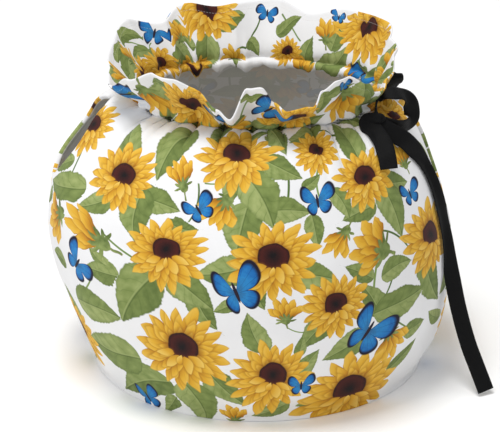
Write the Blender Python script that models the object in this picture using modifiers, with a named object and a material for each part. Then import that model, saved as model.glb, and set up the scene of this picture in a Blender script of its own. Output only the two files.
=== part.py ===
"""Drawstring tea cosy: a front and a back panel of padded cloth that stand on their hem, drawn in
at an oval neck under an upright frill, with a slot at each side and a ribbon tied at the right."""
import math

import bmesh
import bpy
from mathutils import Vector

# Driving dimensions, in metres. X runs to the right, Y to the back, Z up, and the floor is z = 0.
HEM_CENTRE = Vector((-0.00731, -0.00002, 0.0))
WALL_THICKNESS = 0.003
FRILL_THICKNESS = 0.0022
SEAM_GAP = 0.0008
NECK_SEAM_GAP = 0.0026
NECK_SPREAD = 0.007
RIBBON_WIDTH = 0.0105
RIBBON_THICKNESS = 0.0012

# How finely a panel is made: steps around it, and steps up its body and its frill.
PANEL_COLUMNS = 58
BODY_ROWS = 15
FRILL_ROWS = 6

# The body from the hem to the drawn-in neck. The left side is fullest higher up than the right.
BODY_SECTIONS = (
    # height, left reach, right reach, depth
    (0.000, 0.0985, 0.0990, 0.0965),
    (0.004, 0.0985, 0.0990, 0.0965),
    (0.011, 0.1010, 0.1030, 0.0995),
    (0.023, 0.1060, 0.1085, 0.1045),
    (0.046, 0.1145, 0.1135, 0.1115),
    (0.067, 0.1215, 0.1145, 0.1155),
    (0.089, 0.1250, 0.1135, 0.1165),
    (0.106, 0.1240, 0.1100, 0.1140),
    (0.123, 0.1200, 0.1045, 0.1080),
    (0.143, 0.1085, 0.0965, 0.0965),
    (0.156, 0.0985, 0.0885, 0.0845),
    (0.165, 0.0870, 0.0800, 0.0685),
    (0.168, 0.0720, 0.0735, 0.0530),
)

# The frill from the neck to its rim.
FRILL_SECTIONS = (
    # height, left reach, right reach, depth
    (0.168, 0.0720, 0.0735, 0.0530),
    (0.174, 0.0735, 0.0745, 0.0545),
    (0.188, 0.0835, 0.0805, 0.0635),
    (0.202, 0.0935, 0.0860, 0.0725),
)

# Folds where the rim of the frill drops and is pulled in.
FRILL_FOLDS = (
    # angle, drop, pull inwards, half width in degrees
    (-160.0, 0.015, 0.002, 12.0),
    (-104.0, 0.021, 0.010, 6.5),
    (-77.0, 0.018, 0.008, 5.5),
    (-62.0, 0.019, 0.009, 4.5),
    (-31.0, 0.015, 0.009, 5.5),
    (13.0, 0.004, 0.005, 9.0),
    (67.0, 0.005, 0.006, 7.0),
    (106.0, 0.002, 0.004, 7.0),
    (134.0, 0.006, 0.007, 8.0),
    (166.0, 0.008, 0.005, 9.0),
)

# Pleats that run down the shoulder from the neck.
BODY_PLEATS = (
    # angle, depth, half width in degrees, share of the body that it runs down
    (-152.0, 0.0040, 7.0, 0.42),
    (-133.0, 0.0034, 4.5, 0.30),
    (-112.0, 0.0030, 4.5, 0.24),
    (-93.0, 0.0038, 5.0, 0.28),
    (-74.0, 0.0028, 4.5, 0.24),
    (-52.0, 0.0036, 5.0, 0.30),
    (-31.0, 0.0044, 6.0, 0.38),
    (24.0, 0.0030, 5.0, 0.28),
    (47.0, 0.0038, 5.0, 0.32),
    (72.0, 0.0028, 4.5, 0.24),
    (95.0, 0.0036, 5.0, 0.30),
    (119.0, 0.0030, 4.5, 0.26),
    (146.0, 0.0044, 6.0, 0.38),
)

GATHER_COUNT = 27
GATHER_DEPTH = 0.0013
GATHER_REACH = 0.16
FRILL_WAVES = 11
FRILL_WAVE_DEPTH = 0.0034

# The openings left in the side seams, for a spout at the left and a handle at the right.
SLOTS = {
    # side: height of the lower end and of the upper end, reach from the seam to the front and back
    "left": {"low": 0.117, "high": 0.1665, "front": 0.022, "back": 0.033},
    "right": {"low": 0.070, "high": 0.152, "front": 0.011, "back": 0.022},
}

# The ribbon, tied where it comes out of the neck at the right. Each route runs along its middle,
# measured from the hem's centre, and its last column turns the ribbon's face from square to the
# body, at 0, to the front, at 1. The back loop's width lies one way all along, up the frill.
BODY_MIDDLE = Vector((0.0, 0.020, 0.080))
FRONT_FACING = Vector((0.25, -0.87, 0.42))
BACK_LOOP_ACROSS = Vector((-0.20, -0.15, 0.97)).normalized()
RIBBON_STEPS = 3
RIBBON_CLEARANCE = WALL_THICKNESS / 2 + RIBBON_THICKNESS / 2 + 0.0008
SHOULDER_HEIGHT = 0.164
KNOTS = (
    # x, y, z, then half sizes along x, y and z
    (0.0768, -0.0280, 0.1738, 0.0044, 0.0038, 0.0042),
    (0.0717, -0.0418, 0.1690, 0.0062, 0.0040, 0.0052),
)
RIBBON_ROUTES = {
    "strand": (
        (0.0768, -0.0280, 0.1738, 0.2),
        (0.0745, -0.0350, 0.1722, 0.1),
        (0.0717, -0.0418, 0.1690, 0.3),
    ),
    "front_loop": (
        (0.0717, -0.0418, 0.1690, 0.3),
        (0.0780, -0.0375, 0.1650, 0.2),
        (0.0848, -0.0290, 0.1595, 0.1),
        (0.0895, -0.0210, 0.1575, 0.2),
        (0.0918, -0.0165, 0.1625, 0.7),
        (0.0902, -0.0155, 0.1695, 0.8),
        (0.0860, -0.0175, 0.1745, 0.8),
        (0.0815, -0.0225, 0.1755, 0.6),
        (0.0768, -0.0280, 0.1738, 0.4),
    ),
    "back_loop": (
        (0.0775, -0.0270, 0.1745, 0.0),
        (0.0802, -0.0200, 0.1755, 0.0),
        (0.0818, -0.0130, 0.1768, 0.0),
        (0.0832, -0.0070, 0.1778, 0.0),
        (0.0855, -0.0045, 0.1780, 0.0),
        (0.0872, -0.0070, 0.1775, 0.0),
        (0.0866, -0.0140, 0.1765, 0.0),
        (0.0838, -0.0220, 0.1752, 0.0),
        (0.0795, -0.0300, 0.1735, 0.0),
    ),
    "short_tail": (
        (0.0717, -0.0418, 0.1690, 0.6),
        (0.0718, -0.0500, 0.1635, 0.8),
        (0.0736, -0.0570, 0.1577, 0.9),
        (0.0748, -0.0625, 0.1528, 0.9),
        (0.0754, -0.0670, 0.1474, 0.9),
    ),
    "long_tail": (
        (0.0717, -0.0418, 0.1690, 0.5),
        (0.0770, -0.0440, 0.1645, 0.5),
        (0.0830, -0.0440, 0.1580, 0.4),
        (0.0880, -0.0425, 0.1505, 0.3),
        (0.0940, -0.0380, 0.1410, 0.2),
        (0.0995, -0.0325, 0.1305, 0.1),
        (0.1050, -0.0280, 0.1185, 0.0),
        (0.1090, -0.0250, 0.1075, 0.0),
        (0.1125, -0.0235, 0.0960, 0.0),
        (0.1150, -0.0240, 0.0834, 0.0),
        (0.1165, -0.0280, 0.0713, 0.0),
        (0.1180, -0.0330, 0.0604, 0.1),
        (0.1200, -0.0390, 0.0494, 0.2),
        (0.1230, -0.0450, 0.0377, 0.3),
        (0.1265, -0.0510, 0.0267, 0.5),
        (0.1300, -0.0560, 0.0179, 0.6),
        (0.1335, -0.0600, 0.0092, 0.7),
        (0.1365, -0.0625, 0.0015, 0.7),
    ),
}


def table_value(rows, place, column):
    """The smooth value of a table's column at a place from 0, its first row, to 1, its last row."""
    spot = min(max(place, 0.0), 1.0) * (len(rows) - 1)
    index = min(int(spot), len(rows) - 2)
    part = spot - index
    before = rows[max(index - 1, 0)][column]
    start = rows[index][column]
    end = rows[index + 1][column]
    after = rows[min(index + 2, len(rows) - 1)][column]
    slope_start = (end - before) / 2
    slope_end = (after - start) / 2
    square = part * part
    cube = square * part
    return (
        (2 * cube - 3 * square + 1) * start
        + (cube - 2 * square + part) * slope_start
        + (3 * square - 2 * cube) * end
        + (cube - square) * slope_end
    )


def angle_between(first, second):
    """The signed turn in degrees from the second angle to the first, from -180 to 180."""
    return (first - second + 180.0) % 360.0 - 180.0


def hump(distance, half_width):
    """A smooth hump that is 1 at the middle and nearly 0 past twice its half width."""
    return math.exp(-((distance / half_width) ** 2))


def smooth_step(low, high, value):
    """0 below low, 1 above high, and a smooth rise between them."""
    share = min(max((value - low) / (high - low), 0.0), 1.0)
    return share * share * (3.0 - 2.0 * share)


def section_point(rows, angle, place):
    """A point of the smooth oval form, before its folds, in the frame of the hem's centre."""
    turn = math.radians(angle)
    left = table_value(rows, place, 1)
    right = table_value(rows, place, 2)
    reach = (left + right) / 2 + math.cos(turn) * (right - left) / 2
    depth = table_value(rows, place, 3)
    return Vector((reach * math.cos(turn), depth * math.sin(turn), table_value(rows, place, 0)))


def outward(rows, angle, place):
    """The direction square to the smooth form, out of the body or the frill."""
    step = 0.004
    around = section_point(rows, angle + 1.0, place) - section_point(rows, angle - 1.0, place)
    low = max(place - step, 0.0)
    high = min(place + step, 1.0)
    up = section_point(rows, angle, high) - section_point(rows, angle, low)
    return around.cross(up).normalized()


def gathers(angle):
    """The uneven puckers where the drawstring draws the cloth together, from -1 to 1."""
    turn = math.radians(angle)
    drift = 0.9 * math.sin(2 * turn + 0.6) + 0.6 * math.sin(5 * turn + 2.1)
    size = 0.75 + 0.25 * math.sin(3 * turn + 1.2)
    return size * math.sin(GATHER_COUNT * turn + drift)


def body_relief(angle, place):
    """How far the body's cloth stands out of its smooth form: pleats and gathers at the neck."""
    below_neck = 1.0 - place
    relief = GATHER_DEPTH * gathers(angle) * hump(below_neck, GATHER_REACH)
    for middle, depth, half_width, reach in BODY_PLEATS:
        fade = hump(below_neck, reach / 1.6) * (0.35 + 0.65 * smooth_step(0.0, 0.10, below_neck))
        relief -= depth * hump(angle_between(angle, middle), half_width) * fade
    return relief


def frill_relief(angle, place):
    """The waves of the frill, which grow from the gathers at the neck towards the rim."""
    turn = math.radians(angle)
    drift = 1.1 * math.sin(2 * turn + 1.0) + 0.7 * math.sin(3 * turn + 0.3)
    wave = math.sin(FRILL_WAVES * turn + drift)
    near_neck = GATHER_DEPTH * gathers(angle) * (1.0 - smooth_step(0.0, 0.7, place))
    return near_neck + FRILL_WAVE_DEPTH * wave * smooth_step(0.0, 1.0, place)


def body_point(angle, place, stand_off=0.0):
    """A point of the body's cloth, from 0 at the hem to 1 at the neck, or one that stands off it."""
    base = section_point(BODY_SECTIONS, angle, place)
    return base + outward(BODY_SECTIONS, angle, place) * (body_relief(angle, place) + stand_off)


def frill_point(angle, place):
    """A point of the frill's cloth, from 0 at the neck to 1 at the rim."""
    base = section_point(FRILL_SECTIONS, angle, place)
    point = base + outward(FRILL_SECTIONS, angle, place) * frill_relief(angle, place)
    plan = Vector((point.x, point.y, 0.0)).normalized()
    for middle, drop, pull, half_width in FRILL_FOLDS:
        share = hump(angle_between(angle, middle), half_width)
        point.z -= drop * share * smooth_step(0.15, 1.0, place)
        point -= plan * pull * share * smooth_step(0.05, 0.9, place)
    return point


def slot_reach(slot, side, height):
    """How far a side slot is open from the seam to the front or back, 0 where it is sewn shut."""
    share = (height - slot["low"]) / (slot["high"] - slot["low"])
    if share <= 0.0 or share >= 1.0:
        return 0.0
    return slot[side] * math.sin(math.pi * share) ** 0.7


def edge_shift(slot, side, point, is_frill):
    """How many degrees a panel's side edge lies from the side seam at the given point's height."""
    neck_height = BODY_SECTIONS[-1][0]
    near_neck = hump(point.z - neck_height, NECK_SPREAD)
    gap = SEAM_GAP + (NECK_SEAM_GAP - SEAM_GAP) * near_neck
    opening = 0.0 if is_frill else slot_reach(slot, side, point.z)
    return math.degrees((opening + gap / 2) / math.hypot(point.x, point.y))


def panel_rows():
    """Every row of a panel from its hem to its rim, as whether it is frill and its place there."""
    rows = [(False, row / BODY_ROWS) for row in range(BODY_ROWS + 1)]
    rows[1] = (False, 1 / (len(BODY_SECTIONS) - 1))
    rows += [(True, row / FRILL_ROWS) for row in range(1, FRILL_ROWS + 1)]
    return rows


def make_panel(name, side, start_angle, first_slot, last_slot, material, collection):
    """A panel from hem to rim, from a side seam at start_angle round to the one opposite."""
    mesh = bmesh.new()
    grid = []
    thickness = []
    for is_frill, place in panel_rows():
        point_of = frill_point if is_frill else body_point
        first = start_angle + edge_shift(first_slot, side, point_of(start_angle, place), is_frill)
        last = start_angle + 180.0
        last -= edge_shift(last_slot, side, point_of(last, place), is_frill)
        row = []
        for column in range(PANEL_COLUMNS + 1):
            angle = first + (last - first) * column / PANEL_COLUMNS
            row.append(mesh.verts.new(HEM_CENTRE + point_of(angle, place)))
            thickness.append(FRILL_THICKNESS / WALL_THICKNESS if is_frill else 1.0)
        grid.append(row)
    for low, high in zip(grid, grid[1:]):
        for column in range(PANEL_COLUMNS):
            mesh.faces.new((low[column], low[column + 1], high[column + 1], high[column]))
    data = bpy.data.meshes.new(name)
    mesh.to_mesh(data)
    mesh.free()
    panel = bpy.data.objects.new(name, data)
    collection.objects.link(panel)
    group = panel.vertex_groups.new(name="thickness")
    for index, share in enumerate(thickness):
        group.add([index], share, "REPLACE")
    wall = panel.modifiers.new("wall", "SOLIDIFY")
    wall.thickness = WALL_THICKNESS
    wall.offset = 0.0
    wall.use_even_offset = True
    wall.vertex_group = group.name
    data.materials.append(material)
    data.shade_smooth()
    return panel


def place_at(height):
    """The place on the body's sections that lies at a height."""
    low, high = 0.0, 1.0
    for _ in range(20):
        middle = (low + high) / 2
        if table_value(BODY_SECTIONS, middle, 0) < height:
            low = middle
        else:
            high = middle
    return low


def rest_on_body(point):
    """The point, moved straight outwards where it would lie inside the cloth it rests on."""
    if point.z > SHOULDER_HEIGHT:
        return point
    place = place_at(point.z)
    wide = (table_value(BODY_SECTIONS, place, 1) + table_value(BODY_SECTIONS, place, 2)) / 2
    angle = math.degrees(math.atan2(point.y / table_value(BODY_SECTIONS, place, 3), point.x / wide))
    flat = Vector((point.x, point.y, 0.0))
    slope = outward(BODY_SECTIONS, angle, place).to_2d().length
    cloth = body_point(angle, place).to_2d().length + RIBBON_CLEARANCE / slope
    return point + flat.normalized() * max(cloth - flat.length, 0.0)


def smooth_route(rows):
    """Points along a route with RIBBON_STEPS steps between its rows, each with its turn."""
    steps = (len(rows) - 1) * RIBBON_STEPS
    route = []
    for step in range(steps + 1):
        x, y, z, front = (table_value(rows, step / steps, column) for column in range(4))
        route.append((Vector((x, y, z)), front))
    return route


def make_strip(name, rows, collection, lying=None):
    """A flat strip of ribbon along a route, its width turned as the route says or lying one way."""
    mesh = bmesh.new()
    route = smooth_route(rows)
    edges = []
    for index, (point, front) in enumerate(route):
        before = route[max(index - 1, 0)][0]
        after = route[min(index + 1, len(route) - 1)][0]
        along = (after - before).normalized()
        facing = (point - BODY_MIDDLE).normalized().lerp(FRONT_FACING, front)
        across = (lying or along.cross(facing).normalized()) * (RIBBON_WIDTH / 2)
        row = [rest_on_body(point + across * side) for side in (-1, 0, 1)]
        edges.append([mesh.verts.new(HEM_CENTRE + spot) for spot in row])
    for first, second in zip(edges, edges[1:]):
        mesh.faces.new((first[0], second[0], second[1], first[1]))
        mesh.faces.new((first[1], second[1], second[2], first[2]))
    data = bpy.data.meshes.new(name)
    mesh.to_mesh(data)
    mesh.free()
    strip = bpy.data.objects.new(name, data)
    collection.objects.link(strip)
    wall = strip.modifiers.new("thickness", "SOLIDIFY")
    wall.thickness = RIBBON_THICKNESS
    wall.offset = 0.0
    return strip


def make_knot(name, row, collection):
    """A lump of wound ribbon."""
    x, y, z, half_x, half_y, half_z = row
    mesh = bmesh.new()
    bmesh.ops.create_uvsphere(mesh, u_segments=16, v_segments=10, radius=1.0)
    bmesh.ops.scale(mesh, vec=(half_x, half_y, half_z), verts=mesh.verts)
    data = bpy.data.meshes.new(name)
    mesh.to_mesh(data)
    mesh.free()
    knot = bpy.data.objects.new(name, data)
    knot.location = HEM_CENTRE + Vector((x, y, z))
    collection.objects.link(knot)
    return knot


def join(base, others):
    """Fuses the others to the base, and keeps them hidden as its guides."""
    for other in others:
        union = base.modifiers.new("with_" + other.name, "BOOLEAN")
        union.operation = "UNION"
        union.solver = "EXACT"
        union.use_self = True
        union.object = other
        other.hide_render = True
        other.display_type = "WIRE"


def make_material(name, colour, roughness):
    """A cloth material with its own colour."""
    material = bpy.data.materials.new(name)
    material.use_nodes = True
    shader = material.node_tree.nodes["Principled BSDF"]
    shader.inputs["Base Color"].default_value = (*colour, 1.0)
    shader.inputs["Roughness"].default_value = roughness
    shader.inputs["Metallic"].default_value = 0.0
    return material


for old in list(bpy.data.objects):
    bpy.data.objects.remove(old)

cosy = bpy.data.collections.new("tea_cosy")
guides = bpy.data.collections.new("guides")
for collection in (cosy, guides):
    bpy.context.scene.collection.children.link(collection)

front_cloth = make_material("front_cloth", (0.93, 0.93, 0.94), 0.85)
back_cloth = make_material("back_cloth", (0.92, 0.92, 0.93), 0.85)
make_panel("front_panel", "front", -180.0, SLOTS["left"], SLOTS["right"], front_cloth, cosy)
make_panel("back_panel", "back", 0.0, SLOTS["right"], SLOTS["left"], back_cloth, cosy)

ribbon = make_strip("ribbon", RIBBON_ROUTES["long_tail"], cosy)
ribbon_parts = [make_knot(f"knot_{index}", row, guides) for index, row in enumerate(KNOTS)]
for part_name in ("strand", "front_loop", "short_tail"):
    ribbon_parts.append(make_strip(part_name, RIBBON_ROUTES[part_name], guides))
ribbon_parts.append(make_strip("back_loop", RIBBON_ROUTES["back_loop"], guides, BACK_LOOP_ACROSS))
join(ribbon, ribbon_parts)
ribbon.data.materials.append(make_material("black_ribbon", (0.012, 0.012, 0.013), 0.55))
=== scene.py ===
import math

import bmesh
import bpy
import numpy as np
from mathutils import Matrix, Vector


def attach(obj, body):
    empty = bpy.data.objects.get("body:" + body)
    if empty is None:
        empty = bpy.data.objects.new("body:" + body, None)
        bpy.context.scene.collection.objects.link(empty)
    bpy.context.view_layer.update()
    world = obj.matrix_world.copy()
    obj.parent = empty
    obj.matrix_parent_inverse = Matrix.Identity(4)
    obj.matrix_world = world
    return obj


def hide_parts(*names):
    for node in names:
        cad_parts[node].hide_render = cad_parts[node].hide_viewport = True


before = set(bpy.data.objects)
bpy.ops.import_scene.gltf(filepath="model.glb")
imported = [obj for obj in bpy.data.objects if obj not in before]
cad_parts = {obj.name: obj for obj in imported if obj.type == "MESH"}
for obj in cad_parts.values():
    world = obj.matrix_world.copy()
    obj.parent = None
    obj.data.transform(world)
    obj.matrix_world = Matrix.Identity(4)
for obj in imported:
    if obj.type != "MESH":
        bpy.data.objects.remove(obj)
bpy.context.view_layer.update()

# The camera, a little above the cosy and in front of it, at the photograph's angle.
HEM_CENTRE = np.array((-0.00731, -0.00002, 0.0))
CAMERA_EYE = Vector((-0.0048, -1.8, 0.878)) + Vector(HEM_CENTRE)
CAMERA_TARGET = Vector((-0.0048, 0.0, 0.089)) + Vector(HEM_CENTRE)
camera_data = bpy.data.cameras.new("camera")
camera_data.sensor_fit = "HORIZONTAL"
camera_data.sensor_width = 36.0
camera_data.lens = 234.67
camera = bpy.data.objects.new("camera", camera_data)
camera.location = CAMERA_EYE
camera.rotation_euler = (CAMERA_TARGET - CAMERA_EYE).to_track_quat("-Z", "Y").to_euler()
bpy.context.scene.collection.objects.link(camera)
bpy.context.scene.camera = camera

# The studio: a white table that runs out of sight, an even white surround, a soft lamp overhead and
# a broader, weaker one at the left front.
floor_mesh = bpy.data.meshes.new("floor")
floor_mesh.from_pydata([(-9, -9, 0), (9, -9, 0), (9, 9, 0), (-9, 9, 0)], [], [(0, 1, 2, 3)])
floor = bpy.data.objects.new("floor", floor_mesh)
bpy.context.scene.collection.objects.link(floor)
floor_material = bpy.data.materials.new("floor")
floor_material.use_nodes = True
floor_shader = floor_material.node_tree.nodes["Principled BSDF"]
floor_shader.inputs["Base Color"].default_value = (0.97, 0.97, 0.97, 1.0)
floor_shader.inputs["Roughness"].default_value = 0.75
floor_shader.inputs["Specular IOR Level"].default_value = 0.2
floor_mesh.materials.append(floor_material)

world = bpy.data.worlds.new("surround")
bpy.context.scene.world = world
world.use_nodes = True
world.node_tree.nodes["Background"].inputs["Color"].default_value = (1.0, 1.0, 1.0, 1.0)
world.node_tree.nodes["Background"].inputs["Strength"].default_value = 0.62
bpy.context.scene.view_settings.view_transform = "Standard"
for lamp_name, place, size, power in (
    ("key", (-0.35, -0.25, 2.2), 0.7, 27.0),
    ("side", (-1.5, -1.4, 1.1), 0.9, 9.0),
):
    lamp_data = bpy.data.lights.new(lamp_name, "AREA")
    lamp_data.size = size
    lamp_data.energy = power
    lamp = bpy.data.objects.new(lamp_name, lamp_data)
    lamp.location = place
    lamp.rotation_euler = (Vector((0.0, 0.0, 0.1)) - Vector(place)).to_track_quat("-Z", "Y").to_euler()
    bpy.context.scene.collection.objects.link(lamp)

# The cloth of the front and back panels: padded cotton that stands on its hem, drawn in at an oval
# neck. Each panel runs on above the neck as a frill of the same cloth with a stitched rim.
WALL_THICKNESS = 0.003
FRILL_THICKNESS = 0.0013
THINNING_HEIGHT = 0.010
SEAM_GAP = 0.0001
BODY_SECTIONS = np.array((
    # height, left reach, right reach, depth
    (0.000, 0.0985, 0.0990, 0.0965),
    (0.004, 0.0985, 0.0990, 0.0965),
    (0.011, 0.1010, 0.1030, 0.0995),
    (0.023, 0.1060, 0.1085, 0.1045),
    (0.046, 0.1145, 0.1135, 0.1115),
    (0.067, 0.1215, 0.1145, 0.1155),
    (0.089, 0.1250, 0.1135, 0.1165),
    (0.106, 0.1240, 0.1100, 0.1140),
    (0.123, 0.1200, 0.1045, 0.1080),
    (0.143, 0.1085, 0.0965, 0.0965),
    (0.156, 0.0985, 0.0885, 0.0845),
    (0.165, 0.0870, 0.0800, 0.0685),
    (0.168, 0.0720, 0.0735, 0.0530),
))
FRILL_SECTIONS = np.array((
    # height, left reach, right reach, depth
    (0.168, 0.0720, 0.0735, 0.0530),
    (0.174, 0.0735, 0.0745, 0.0545),
    (0.188, 0.0835, 0.0805, 0.0635),
    (0.202, 0.0935, 0.0860, 0.0725),
))
RIM_FOLDS = np.array((
    # angle, how far the rim drops, how far it is pulled inwards
    (-180, 0.0120, 0.0050),
    (-166, 0.0175, 0.0030),
    (-157, 0.0180, 0.0000),
    (-144, 0.0075, 0.0000),
    (-133, 0.0020, 0.0015),
    (-122, 0.0000, -0.0010),
    (-113, 0.0070, 0.0010),
    (-105, 0.0150, -0.0010),
    (-100, 0.0205, -0.0030),
    (-94, 0.0030, -0.0015),
    (-89, 0.0005, -0.0030),
    (-84, 0.0110, 0.0015),
    (-80, 0.0150, -0.0040),
    (-71, 0.0140, -0.0060),
    (-65, 0.0060, 0.0010),
    (-60, 0.0005, -0.0010),
    (-52, 0.0025, 0.0015),
    (-43, 0.0080, 0.0010),
    (-34, 0.0185, 0.0030),
    (-24, 0.0190, 0.0055),
    (-12, 0.0150, 0.0060),
    (0, 0.0060, 0.0040),
    (13, 0.0045, 0.0040),
    (26, 0.0000, 0.0000),
    (50, 0.0010, 0.0000),
    (67, 0.0055, 0.0060),
    (84, 0.0000, 0.0000),
    (106, 0.0025, 0.0040),
    (120, 0.0000, 0.0000),
    (134, 0.0065, 0.0070),
    (150, 0.0010, 0.0000),
    (165, 0.0060, 0.0040),
    (180, 0.0120, 0.0050),
))
BODY_PLEATS = (
    # angle, depth, half width in degrees, share of the body that it runs down
    (-152.0, 0.0040, 7.0, 0.42),
    (-133.0, 0.0034, 4.5, 0.30),
    (-112.0, 0.0030, 4.5, 0.24),
    (-93.0, 0.0038, 5.0, 0.28),
    (-74.0, 0.0028, 4.5, 0.24),
    (-52.0, 0.0036, 5.0, 0.30),
    (-31.0, 0.0044, 6.0, 0.38),
    (24.0, 0.0030, 5.0, 0.28),
    (47.0, 0.0038, 5.0, 0.32),
    (72.0, 0.0028, 4.5, 0.24),
    (95.0, 0.0036, 5.0, 0.30),
    (119.0, 0.0030, 4.5, 0.26),
    (146.0, 0.0044, 6.0, 0.38),
)
NECK_CREASES = (
    # angle, depth, half width in degrees, share of the body that it runs down
    (-146.0, 0.0042, 2.9, 0.23),
    (-139.0, 0.0025, 1.5, 0.15),
    (-127.0, 0.0036, 2.0, 0.20),
    (-119.0, 0.0025, 1.7, 0.14),
    (-106.0, 0.0034, 1.8, 0.14),
    (-98.0, 0.0022, 1.4, 0.10),
    (-86.0, 0.0031, 1.9, 0.13),
    (-79.0, 0.0021, 1.4, 0.10),
    (-66.0, 0.0034, 1.8, 0.15),
    (-58.0, 0.0042, 2.4, 0.22),
    (-45.0, 0.0031, 1.7, 0.17),
    (-37.0, 0.0039, 2.2, 0.23),
    (-20.0, 0.0031, 2.0, 0.16),
    (14.0, 0.0031, 1.8, 0.17),
    (33.0, 0.0036, 2.1, 0.20),
    (58.0, 0.0028, 1.7, 0.15),
    (83.0, 0.0036, 2.0, 0.18),
    (107.0, 0.0028, 1.7, 0.15),
    (133.0, 0.0039, 2.2, 0.21),
    (160.0, 0.0034, 2.0, 0.18),
)
SLOT_FOLD = {"angle": -18.0, "half_angle": 7.0, "height": 0.158, "half_height": 0.0050, "rise": 0.0026}
GATHER_COUNT = 27
GATHER_DEPTH = 0.0028
GATHER_REACH = 0.13
NECK_GROOVE = 0.0018
NECK_PUFF = 0.0026
FRILL_WAVES = 19
FRILL_WAVE_DEPTH = 0.0024
SLOTS = {
    # side: height of the lower end and of the upper end, reach from the seam to the front and back
    "left": {"low": 0.117, "high": 0.1665, "front": 0.022, "back": 0.033},
    "right": {"low": 0.070, "high": 0.152, "front": 0.011, "back": 0.022},
}
PANEL_COLUMNS = 300
BODY_ROWS = 126
FRILL_ROWS = 28
FINE_PUCKERS = 64
FINE_PUCKER_DEPTH = 0.0005
PUCKER_REACH = 0.05
GROOVE_REACH = 0.018
FRILL_PUCKER_REACH = 0.35
FRILL_GROOVE_REACH = 0.07
PUFF_PLACE = 0.20
PUFF_HALF_WIDTH = 0.13
RIM_SEAM = 0.0045
SEAM_SINK = 0.0002
SEAM_HALF_WIDTH = 0.0008
EDGE_SHARE = 0.6
CLOTH_RADIUS = 0.11


def table_value(rows, place, column):
    """Smooth values of a table's column at places from 0, its first row, to 1, its last row."""
    spot = np.clip(place, 0.0, 1.0) * (len(rows) - 1)
    index = np.minimum(spot.astype(int), len(rows) - 2)
    share = spot - index
    before = rows[np.maximum(index - 1, 0), column]
    start = rows[index, column]
    end = rows[index + 1, column]
    after = rows[np.minimum(index + 2, len(rows) - 1), column]
    square = share * share
    cube = square * share
    return (
        (2 * cube - 3 * square + 1) * start
        + (cube - 2 * square + share) * (end - before) / 2
        + (3 * square - 2 * cube) * end
        + (cube - square) * (after - start) / 2
    )


def angle_between(first, second):
    """The signed turn in degrees from the second angle to the first, from -180 to 180."""
    return (first - second + 180.0) % 360.0 - 180.0


def hump(distance, half_width, power=2.0):
    """A hump that is 1 at the middle and nearly 0 past twice its half width, sharper at a low power."""
    return np.exp(-(np.abs(distance / half_width) ** power))


def smooth_step(low, high, value):
    """0 below low, 1 above high, and a smooth rise between them."""
    share = np.clip((value - low) / (high - low), 0.0, 1.0)
    return share * share * (3.0 - 2.0 * share)


def section_point(rows, angle, place):
    """Points of the smooth oval form, before its folds, round the hem's centre."""
    turn = np.radians(angle)
    left = table_value(rows, place, 1)
    right = table_value(rows, place, 2)
    reach = (left + right) / 2 + np.cos(turn) * (right - left) / 2
    depth = table_value(rows, place, 3)
    height = table_value(rows, place, 0)
    return np.stack((reach * np.cos(turn), depth * np.sin(turn), height), axis=-1)


def unit(vectors):
    """The vectors at length 1."""
    return vectors / np.linalg.norm(vectors, axis=-1, keepdims=True)


def outward(rows, angle, place):
    """The directions square to the smooth form, out of the body or the frill."""
    step = 0.004
    around = section_point(rows, angle + 1.0, place) - section_point(rows, angle - 1.0, place)
    low = np.maximum(place - step, 0.0)
    high = np.minimum(place + step, 1.0)
    return unit(np.cross(around, section_point(rows, angle, high) - section_point(rows, angle, low)))


def gathers(angle):
    """The uneven puckers where the drawstring draws the cloth together: round puffs, from about 0.5,
    between sharp creases, down to about -1."""
    turn = np.radians(angle)
    drift = 0.9 * np.sin(2 * turn + 0.6) + 0.6 * np.sin(5 * turn + 2.1)
    size = 0.75 + 0.25 * np.sin(3 * turn + 1.2)
    return size * (1.6 * np.abs(np.sin((GATHER_COUNT * turn + drift) / 2)) ** 0.8 - 1.1)


def fine_puckers(angle):
    """Small uneven puckers right at the drawstring, from -1 to 1."""
    turn = np.radians(angle)
    return np.sin(FINE_PUCKERS * turn + 1.7 * np.sin(7 * turn)) * (0.6 + 0.4 * np.sin(9 * turn + 0.8))


def slack(angle, place):
    """Shallow unevenness of padded cloth that stands by itself."""
    turn = np.radians(angle)
    return (
        0.0006 * np.sin(5 * turn + 7 * place + 0.4) * np.sin(9 * place + 2 * turn)
        + 0.0004 * np.sin(11 * turn - 12 * place + 1.9)
        + 0.0003 * np.sin(17 * turn + 19 * place)
    )


def body_relief(angle, place):
    """How far the body's cloth stands out of its smooth form: pleats, gathers and slack."""
    below_neck = 1.0 - place
    relief = GATHER_DEPTH * gathers(angle) * hump(below_neck, GATHER_REACH)
    relief = relief + FINE_PUCKER_DEPTH * fine_puckers(angle) * hump(below_neck, PUCKER_REACH)
    for middle, depth, half_width, reach in BODY_PLEATS:
        fade = hump(below_neck, reach / 1.6) * (0.35 + 0.65 * smooth_step(0.0, 0.10, below_neck))
        relief = relief - depth * hump(angle_between(angle, middle), half_width) * fade
    for middle, depth, half_width, reach in NECK_CREASES:
        crease = hump(angle_between(angle, middle), half_width, 1.3) * hump(below_neck, reach)
        relief = relief - depth * crease * smooth_step(0.0, 0.03, below_neck)
    rise = hump(angle_between(angle, SLOT_FOLD["angle"]), SLOT_FOLD["half_angle"])
    over_slot = table_value(BODY_SECTIONS, place, 0) - SLOT_FOLD["height"]
    relief = relief + SLOT_FOLD["rise"] * rise * hump(over_slot, SLOT_FOLD["half_height"])
    relief = relief - NECK_GROOVE * hump(below_neck, GROOVE_REACH)
    return relief + slack(angle, place) * smooth_step(0.0, 0.15, place) * smooth_step(0.0, 0.2, below_neck)


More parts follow.
